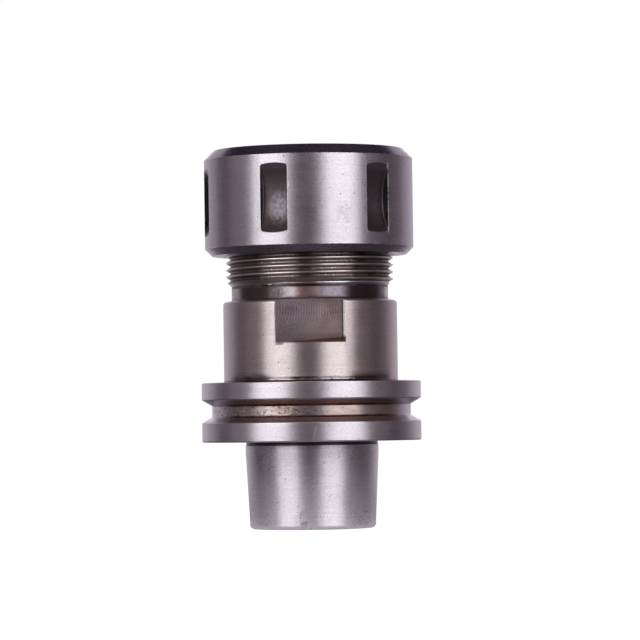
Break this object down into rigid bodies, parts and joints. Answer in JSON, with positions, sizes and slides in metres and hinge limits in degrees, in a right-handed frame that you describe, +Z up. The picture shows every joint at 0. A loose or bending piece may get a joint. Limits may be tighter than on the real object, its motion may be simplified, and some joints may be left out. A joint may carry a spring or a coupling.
{
  "type": "collet chuck",
  "caption": "Hollow taper shank tool holder with a gripper flange, spanner flats and a threaded nose, a slit collet and a ball-bearing clamping nut with spanner slots.",
  "frame": {"origin": "centre of the shank's small end face, on the chuck's axis", "axes": "+Z up the axis from the shank to the clamping nut, -Y towards the front spanner flat"},
  "size_m": [0.063, 0.063, 0.1086],
  "materials": {
    "body_steel": "turned and ground steel with an oil film, brown stains in its corners and fine pitting",
    "nut_steel": "turned steel, lightly worn and pitted, dark oily spanner slots",
    "ring_steel": "hardened and ground steel",
    "collet_steel": "ground spring steel",
    "plug_steel": "blackened steel set screw",
    "ball_steel": "polished bearing balls"
  },
  "bodies": {
    "chuck_body": {"chuck_body": "body_steel"},
    "collet_and_ring": {"collet": "collet_steel", "pressure_ring": "ring_steel"},
    "clamping_nut": {"clamping_nut": "nut_steel", "race_plug": "plug_steel"},
    "ball_set": {"ball_01": "ball_steel", "ball_02": "ball_steel", "ball_03": "ball_steel", "ball_04": "ball_steel", "ball_05": "ball_steel", "ball_06": "ball_steel", "ball_07": "ball_steel", "ball_08": "ball_steel", "ball_09": "ball_steel", "ball_10": "ball_steel", "ball_11": "ball_steel", "ball_12": "ball_steel", "ball_13": "ball_steel", "ball_14": "ball_steel", "ball_15": "ball_steel", "ball_16": "ball_steel", "ball_17": "ball_steel", "ball_18": "ball_steel", "ball_19": "ball_steel", "ball_20": "ball_steel", "ball_21": "ball_steel", "ball_22": "ball_steel", "ball_23": "ball_steel", "ball_24": "ball_steel", "ball_25": "ball_steel", "ball_26": "ball_steel", "ball_27": "ball_steel", "ball_28": "ball_steel", "ball_29": "ball_steel", "ball_30": "ball_steel", "ball_31": "ball_steel", "ball_32": "ball_steel", "ball_33": "ball_steel", "ball_34": "ball_steel", "ball_35": "ball_steel"}
  },
  "joints": [
    {"name": "nut_rise", "type": "slide", "parent": "chuck_body", "child": "collet_and_ring", "axis": [0, 0, 1], "range_m": [-0.0051, 0.0156]},
    {"name": "nut_turn", "type": "hinge", "parent": "collet_and_ring", "child": "clamping_nut", "pos_m": [0, 0, 0.0935], "axis": [0, 0, 1], "range_deg": [-900, 2790]},
    {"name": "balls_orbit", "type": "hinge", "parent": "collet_and_ring", "child": "ball_set", "pos_m": [0, 0, 0.10286], "axis": [0, 0, 1], "range_deg": [-480, 1485]}
  ],
  "couplings": [
    {"joint": "nut_rise", "follows": "nut_turn", "m_per_rad": 0.00031831},
    {"joint": "balls_orbit", "follows": "nut_turn", "ratio": 0.5307}
  ]
}
